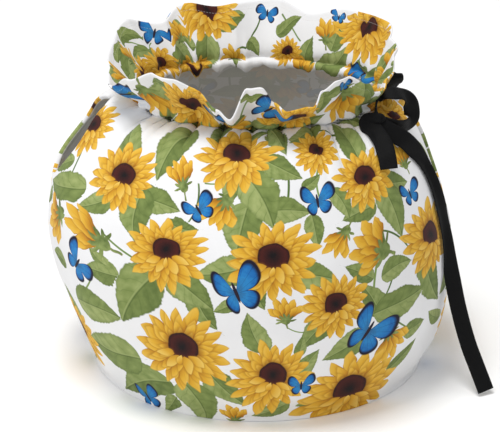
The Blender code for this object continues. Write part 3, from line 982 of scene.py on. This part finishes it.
bud_colour = mixed(inner_shade * 0.4, outer_colour, (0.36, 0.14, 0.008, 1.0))
bud_colour = mixed(inner_mask, bud_colour, inner_colour)
bud_colour = mixed(sepal_shade * 0.4, bud_colour, (0.30, 0.13, 0.010, 1.0))
green = ramp(noise(vector_of(bud, x, y, code), 5.0) + y * 0.5, (
    (0.25, (0.100, 0.150, 0.035)),
    (0.80, (0.280, 0.350, 0.110)),
))
bud_colour = mixed(sepal_mask, bud_colour, green)
finish_motif(bud, bud_out, bud_colour, outer_mask.math("MAXIMUM", sepal_mask))

# A leaf: broad near its stalk and pointed at its tip, one half darker, with a midrib and veins.
leaf, (x, y, code), leaf_out = new_motif("leaf")
y = y + (x * x - 0.5) * (code - 0.5) * 0.35
share = (x + 1.0).math("MULTIPLY", 0.5, clamp=True)
grain = noise(vector_of(leaf, x * 0.6, y, code * 7.0), 5.0)
wobble = noise(vector_of(leaf, x, y * 0.3, code * 5.0), 3.0, 1.0) - 0.5
breadth = share ** 0.55 * (share * -1.0 + 1.0) ** 1.05 * (wobble * 0.45 + 1.40)
teeth = (x * 6.5 + wobble * 3.0 + code).math("PINGPONG", 0.5) * 0.04
leaf_mask = (y.size() - breadth + teeth).below(0.0, 0.03)
vein_run = (x * 2.6 - y.size() * 2.6 + wobble * 1.3 + code).math("PINGPONG", 0.5)
tone = y.below(0.0, 0.10) * 0.30 + grain * 0.75 + code * 0.22 + vein_run * 0.26 - 0.18
leaf_colour = ramp(tone, (
    (0.12, (0.115, 0.165, 0.040)),
    (0.50, (0.205, 0.270, 0.075)),
    (0.92, (0.360, 0.420, 0.155)),
))
veins = vein_run.below(0.028, 0.04) * 0.42
leaf_colour = mixed(veins, leaf_colour, (0.110, 0.165, 0.038, 1.0))
midrib = (y + 0.012).size().below(0.018, 0.02)
leaf_colour = mixed(midrib * 0.70, leaf_colour, (0.340, 0.400, 0.150, 1.0))
leaf_colour = mixed((y - 0.024).size().below(0.014, 0.02) * 0.60, leaf_colour, (0.065, 0.105, 0.022, 1.0))
rim_shade = (breadth - y.size()).below(0.05, 0.06)
leaf_colour = mixed(rim_shade * 0.35, leaf_colour, (0.090, 0.140, 0.030, 1.0))
finish_motif(leaf, leaf_out, leaf_colour, leaf_mask)

# A thin bent stem.
stem, (x, y, code), stem_out = new_motif("stem")
bend = (x * x * -1.0 + 1.0) * (code - 0.5) * 0.6
stem_mask = (y - bend).size().below(0.045, 0.02) * x.size().below(1.0, 0.05)
stem_colour = mixed(y.below(0.0, 0.2), (0.085, 0.150, 0.035, 1.0), (0.220, 0.320, 0.090, 1.0))
finish_motif(stem, stem_out, stem_colour, stem_mask)

# A blue butterfly: two pairs of wings with a dark rim and veins on a thin dark body.
butterfly, (x, y, code), butterfly_out = new_motif("butterfly")
aside = x.size() * (x.below(0.0, 0.01) * (code * 0.6) + 1.0)
radius = (aside * aside + y * y).math("SQRT")
bearing = y.math("ARCTAN2", aside)
wing_noise = noise(vector_of(butterfly, x, y, code), 9.0)
butterfly_colour, butterfly_mask = None, None
for middle, spread, reach_now, flare in (
    (-0.72, 0.72, 0.74, -0.06),
    (0.52, 0.60, 1.04, 0.20),
):
    turn = (bearing - middle) * (1.0 / spread)
    room = ((turn.size() ** 3.2) * -1.0 + 1.0).math("MAXIMUM", 0.0001)
    wing_reach = room ** 0.42 * (turn * flare + 0.86) * reach_now
    far = radius / wing_reach
    vein = (bearing * 3.2 + code).math("PINGPONG", 0.5).below(0.035, 0.04)
    blue = ramp(far * 0.8 + (wing_noise - 0.5) * 0.4, (
        (0.05, (0.030, 0.150, 0.330)),
        (0.38, (0.024, 0.235, 0.560)),
        (0.62, (0.012, 0.150, 0.450)),
        (0.85, (0.005, 0.060, 0.250)),
    ))
    blue = mixed(vein * 0.45, blue, (0.004, 0.025, 0.100, 1.0))
    dark_rim = (far * -1.0).below(-0.86, 0.10).math("MAXIMUM", (turn.size() * -1.0).below(-0.93, 0.06))
    blue = mixed(dark_rim, blue, (0.010, 0.008, 0.022, 1.0))
    wing_mask = far.below(1.0, 0.05)
    if butterfly_colour is None:
        butterfly_colour, butterfly_mask = blue, wing_mask
    else:
        butterfly_colour = mixed(wing_mask, butterfly_colour, blue)
        butterfly_mask = butterfly_mask.math("MAXIMUM", wing_mask)
trunk = (aside * 18.0) ** 2.0 + ((y - 0.02) * 3.4) ** 2.0
butterfly_colour = mixed(trunk.below(1.0, 0.3), butterfly_colour, (0.020, 0.012, 0.022, 1.0))
butterfly_mask = butterfly_mask.math("MAXIMUM", trunk.below(1.0, 0.2))
finish_motif(butterfly, butterfly_out, butterfly_colour, butterfly_mask)

# The printed cloth itself: white plain weave under the print, fainter on its wrong side, with a
# line of white stitches that holds the turned rim.
STITCH_LENGTH = 0.0022
STITCH_HALF_WIDTH = 0.00022
YARN_PITCH = 0.0007
cloth_material = bpy.data.materials.new("printed_cloth")
cloth_material.use_nodes = True
tree = cloth_material.node_tree
shader = tree.nodes["Principled BSDF"]
shader.inputs["Roughness"].default_value = 0.82
shader.inputs["Specular IOR Level"].default_value = 0.25
shader.inputs["Sheen Weight"].default_value = 0.04
cloth_spot = stored(tree, "cloth", "Vector")
u, v, _ = split(cloth_spot)
mottle = noise(cloth_spot, 60.0, 3.0)
colour = mixed(mottle, (0.83, 0.83, 0.845, 1.0), (0.90, 0.90, 0.905, 1.0))
motifs = {
    "stem": stem, "under_leaf": leaf, "leaf": leaf, "bud": bud, "bloom": bloom, "butterfly": butterfly,
}
for kind, group in motifs.items():
    motif_colour, motif_mask = use_group(tree, group, (stored(tree, "print_" + kind, "Vector"),))
    colour = mixed(motif_mask, colour, motif_colour)
wrong = stored(tree, "wrong_side", "Fac")
colour = mixed(wrong * 0.80, colour, (0.80, 0.79, 0.77, 1.0))
seam_far = (stored(tree, "from_rim", "Fac") - RIM_SEAM).size()
stitch_run = (u * (1.0 / STITCH_LENGTH)).math("PINGPONG", 0.5).below(0.33, 0.08)
stitch = stitch_run * seam_far.below(STITCH_HALF_WIDTH, 0.0002)
colour = mixed(stitch * 0.22, colour, (0.80, 0.79, 0.76, 1.0))
dulled = mixed(wrong * 0.02 + 0.10, colour, (0.0, 0.0, 0.0, 1.0))
plug(tree, shader.inputs["Base Color"], dulled)
warp = (u * (1.0 / YARN_PITCH)).math("PINGPONG", 0.5)
weft = (v * (1.0 / YARN_PITCH)).math("PINGPONG", 0.5)
weave = (warp - 0.25) * (weft - 0.25) * 4.0 + noise(cloth_spot, 900.0) * 0.5 + stitch * 2.0
bump = tree.nodes.new("ShaderNodeBump")
bump.inputs["Strength"].default_value = 0.35
bump.inputs["Distance"].default_value = 0.0002
plug(tree, bump.inputs["Height"], weave)
tree.links.new(bump.outputs[0], shader.inputs["Normal"])

for name, side, start_angle, first_slot, last_slot, node in (
    ("front_cloth", "front", -180.0, SLOTS["left"], SLOTS["right"], "front_panel"),
    ("back_cloth", "back", 0.0, SLOTS["right"], SLOTS["left"], "back_panel"),
):
    panel, area = make_cloth(name, side, start_angle, first_slot, last_slot)
    panel.data.materials.append(cloth_material)
    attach(panel, "root")
    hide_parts(node)

# The ribbon: flat black woven ribbon tied in a bow where it comes out of the neck at the right, its
# long end hanging down the front of the cosy to the table.
RIBBON_WIDTH = 0.0105
RIBBON_THICKNESS = 0.0009
RIBBON_STEPS = 8
RIBBON_COLUMNS = 8
RIBBON_CLEARANCE = 0.0029
SHOULDER_HEIGHT = 0.164
RIB_PITCH = 0.0008
THREAD_PITCH = 0.0005
SELVEDGE_WIDTH = 0.0004
KNOT_LENGTH = 0.03
KNOTS = (
    # x, y, z, then half sizes along x, y and z
    (0.0712, -0.0295, 0.1776, 0.0024, 0.0022, 0.0026),
    (0.0700, -0.0425, 0.1696, 0.0040, 0.0024, 0.0032),
)
RIBBON_ROUTES = {
    # rows of x, y, z, the way the ribbon faces along x, y and z, and its share of the full width
    "back_loop": (
        (0.0712, -0.0280, 0.1772, 0.00, -0.92, 0.40, 0.35),
        (0.0752, -0.0150, 0.1755, -0.50, -0.75, 0.45, 0.70),
        (0.0789, -0.0040, 0.1747, -0.50, -0.75, 0.45, 1.00),
        (0.0818, 0.0030, 0.1756, -0.50, -0.75, 0.45, 0.92),
        (0.0833, 0.0065, 0.1772, -0.45, -0.65, 0.60, 0.62),
        (0.0836, 0.0085, 0.1776, 0.00, 0.20, 0.98, 0.34),
        (0.0826, 0.0110, 0.1755, 0.10, 0.85, -0.40, 0.60),
        (0.0800, 0.0090, 0.1725, 0.15, 0.90, -0.40, 0.80),
        (0.0757, -0.0020, 0.1727, 0.10, 0.90, -0.40, 0.60),
        (0.0714, -0.0230, 0.1760, 0.00, 0.92, -0.40, 0.30),
    ),
    "front_loop": (
        (0.0710, -0.0310, 0.1784, 0.00, -0.92, 0.40, 0.35),
        (0.0744, -0.0320, 0.1806, 0.00, -0.42, 0.90, 0.75),
        (0.0788, -0.0320, 0.1814, 0.00, -0.42, 0.90, 1.00),
        (0.0833, -0.0300, 0.1800, 0.00, -0.42, 0.90, 1.00),
        (0.0869, -0.0270, 0.1762, 0.25, -0.62, 0.74, 1.00),
        (0.0893, -0.0258, 0.1714, 0.42, -0.85, 0.25, 1.00),
        (0.0901, -0.0256, 0.1660, 0.42, -0.85, 0.25, 1.00),
        (0.0893, -0.0281, 0.1626, 0.40, -0.85, -0.10, 1.00),
        (0.0861, -0.0337, 0.1616, 0.30, -0.90, -0.20, 0.90),
        (0.0806, -0.0385, 0.1632, 0.20, -0.92, -0.20, 0.80),
        (0.0743, -0.0410, 0.1667, 0.20, -0.92, -0.20, 0.60),
        (0.0696, -0.0420, 0.1696, 0.20, -0.95, 0.00, 0.40),
    ),
    "strand": (
        (0.0711, -0.0300, 0.1780, 0.50, -0.70, 0.50, 0.35),
        (0.0693, -0.0320, 0.1763, 0.80, -0.50, 0.30, 0.17),
        (0.0686, -0.0360, 0.1735, 0.80, -0.50, 0.30, 0.17),
        (0.0688, -0.0400, 0.1707, 0.50, -0.80, 0.30, 0.40),
        (0.0696, -0.0420, 0.1690, 0.30, -0.90, 0.30, 0.50),
    ),
    "short_tail": (
        (0.0712, -0.0460, 0.1706, 0.30, -0.85, 0.40, 0.45),
        (0.0666, -0.0455, 0.1711, 0.20, -0.85, 0.50, 0.62),
        (0.0637, -0.0465, 0.1686, 0.20, -0.85, 0.45, 1.05),
        (0.0671, -0.0500, 0.1641, 0.20, -0.87, 0.42, 1.15),
        (0.0718, -0.0560, 0.1590, 0.20, -0.90, 0.40, 1.12),
        (0.0743, -0.0620, 0.1540, 0.15, -0.92, 0.36, 1.02),
        (0.0754, -0.0665, 0.1478, 0.10, -0.93, 0.35, 1.00),
    ),
    "long_tail": (
        (0.0690, -0.0420, 0.1696, 0.30, -0.85, 0.40, 0.45),
        (0.0743, -0.0440, 0.1645, 0.30, -0.85, 0.40, 0.85),
        (0.0802, -0.0440, 0.1598, 0.30, -0.85, 0.40, 1.00),
        (0.0861, -0.0425, 0.1554, 0.35, -0.85, 0.35, 1.00),
        (0.0917, -0.0390, 0.1476, 0.35, -0.87, 0.30, 1.00),
        (0.0965, -0.0350, 0.1370, 0.35, -0.88, 0.30, 1.00),
        (0.1020, -0.0345, 0.1253, 0.45, -0.85, 0.29, 1.00),
        (0.1065, -0.0350, 0.1127, 0.60, -0.76, 0.25, 1.00),
        (0.1089, -0.0350, 0.1011, 0.65, -0.72, 0.22, 1.00),
        (0.1112, -0.0360, 0.0886, 0.50, -0.82, 0.28, 1.00),
        (0.1137, -0.0380, 0.0758, 0.50, -0.82, 0.28, 1.00),
        (0.1160, -0.0410, 0.0641, 0.42, -0.87, 0.25, 1.00),
        (0.1186, -0.0440, 0.0517, 0.42, -0.87, 0.25, 1.00),
        (0.1219, -0.0480, 0.0392, 0.42, -0.87, 0.25, 1.00),
        (0.1257, -0.0520, 0.0272, 0.42, -0.87, 0.25, 1.00),
        (0.1295, -0.0560, 0.0179, 0.42, -0.87, 0.25, 1.00),
        (0.1330, -0.0600, 0.0096, 0.42, -0.87, 0.25, 1.00),
        (0.1358, -0.0630, 0.0028, 0.42, -0.87, 0.25, 1.00),
    ),
}


def place_at(height):
    """The place on the body's sections that lies at a height."""
    low, high = 0.0, 1.0
    for _ in range(20):
        middle = (low + high) / 2
        if table_value(BODY_SECTIONS, np.array(middle), 0) < height:
            low = middle
        else:
            high = middle
    return low


def rest_on_body(point):
    """The point, moved straight outwards where it would lie inside the cloth it rests on."""
    if point.z > SHOULDER_HEIGHT:
        return point
    place = np.array(place_at(point.z))
    wide = (table_value(BODY_SECTIONS, place, 1) + table_value(BODY_SECTIONS, place, 2)) / 2
    depth = table_value(BODY_SECTIONS, place, 3)
    angle = np.array(math.degrees(math.atan2(point.y / depth, point.x / wide)))
    flat = Vector((point.x, point.y, 0.0))
    slope = float(np.hypot(*outward(BODY_SECTIONS, angle, place)[:2]))
    cloth = float(np.hypot(*body_point(angle, place)[:2])) + RIBBON_CLEARANCE / slope
    return point + flat.normalized() * max(cloth - flat.length, 0.0)


def add_strip(mesh, rows):
    """Adds a flat strip of ribbon along a route as a closed thin body; gives its length."""
    table = np.array(rows)
    steps = (len(rows) - 1) * RIBBON_STEPS
    shares = np.arange(steps + 1) / steps
    route = [Vector(spot) for spot in np.stack([table_value(table, shares, c) for c in range(3)], -1)]
    facings = np.stack([table_value(table, shares, c) for c in range(3, 6)], -1)
    widths = table_value(table, shares, 6) * RIBBON_WIDTH
    place_layer = mesh.verts.layers.float_vector["ribbon"]
    layers = []
    length = 0.0
    for index, point in enumerate(route):
        before = route[max(index - 1, 0)]
        after = route[min(index + 1, steps)]
        along = (after - before).normalized()
        across = along.cross(Vector(facings[index])).normalized()
        face = across.cross(along).normalized()
        ring = []
        for side, columns in ((1.0, range(RIBBON_COLUMNS + 1)), (-1.0, range(RIBBON_COLUMNS, -1, -1))):
            for column in columns:
                share = column / RIBBON_COLUMNS * 2.0 - 1.0
                spot = rest_on_body(point + across * share * widths[index] / 2)
                rise = side * RIBBON_THICKNESS / 2 * (1.0 - 0.5 * share ** 8)
                vertex = mesh.verts.new(Vector(HEM_CENTRE) + spot + face * rise)
                vertex[place_layer] = (share * RIBBON_WIDTH / 2, length, 0.0)
                ring.append(vertex)
        layers.append(ring)
        length += (after - point).length
    for first, second in zip(layers, layers[1:]):
        for index in range(len(first)):
            following = (index + 1) % len(first)
            mesh.faces.new((first[index], first[following], second[following], second[index]))
    mesh.faces.new(layers[0][::-1])
    mesh.faces.new(layers[-1])
    return length


ribbon_mesh = bmesh.new()
place_layer = ribbon_mesh.verts.layers.float_vector.new("ribbon")
ribbon_length = 0.0
for rows in RIBBON_ROUTES.values():
    ribbon_length += add_strip(ribbon_mesh, rows)
for x, y, z, half_x, half_y, half_z in KNOTS:
    made = bmesh.ops.create_uvsphere(ribbon_mesh, u_segments=32, v_segments=20, radius=1.0)
    bmesh.ops.scale(ribbon_mesh, vec=(half_x, half_y, half_z), verts=made["verts"])
    for vertex in made["verts"]:
        vertex[place_layer] = (0.0, vertex.co.z, 0.0)
    bmesh.ops.translate(ribbon_mesh, vec=Vector(HEM_CENTRE) + Vector((x, y, z)), verts=made["verts"])
    ribbon_length += KNOT_LENGTH
bmesh.ops.recalc_face_normals(ribbon_mesh, faces=ribbon_mesh.faces)
ribbon_data = bpy.data.meshes.new("ribbon_bow")
ribbon_mesh.to_mesh(ribbon_data)
ribbon_mesh.free()
ribbon_data.shade_smooth()
ribbon_piece = bpy.data.objects.new("ribbon_bow", ribbon_data)
bpy.context.scene.collection.objects.link(ribbon_piece)
ribbon_material = bpy.data.materials.new("ribbon")
ribbon_material.use_nodes = True
tree = ribbon_material.node_tree
shader = tree.nodes["Principled BSDF"]
shader.inputs["Roughness"].default_value = 0.58
shader.inputs["Specular IOR Level"].default_value = 0.10
shader.inputs["Sheen Weight"].default_value = 0.006
across, run, _ = split(stored(tree, "ribbon", "Vector"))
ribs = (run * (1.0 / RIB_PITCH)).math("PINGPONG", 0.5)
threads = (across * (1.0 / THREAD_PITCH)).math("PINGPONG", 0.5)
selvedge = (across.size() * -1.0).below(-0.44 * RIBBON_WIDTH, SELVEDGE_WIDTH)
wear = noise(stored(tree, "ribbon", "Vector"), 240.0, 3.0)
plug(tree, shader.inputs["Base Color"], mixed(
    wear * 0.7 + selvedge * 0.5, (0.0022, 0.0022, 0.0025, 1.0), (0.0060, 0.0060, 0.0064, 1.0)
))
bump = tree.nodes.new("ShaderNodeBump")
bump.inputs["Strength"].default_value = 0.45
bump.inputs["Distance"].default_value = 0.0003
plug(tree, bump.inputs["Height"], ribs * 1.2 + threads * 0.4 + selvedge * 0.8 + wear * 0.3)
tree.links.new(bump.outputs[0], shader.inputs["Normal"])
ribbon_data.materials.append(ribbon_material)
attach(ribbon_piece, "root")
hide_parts("ribbon")
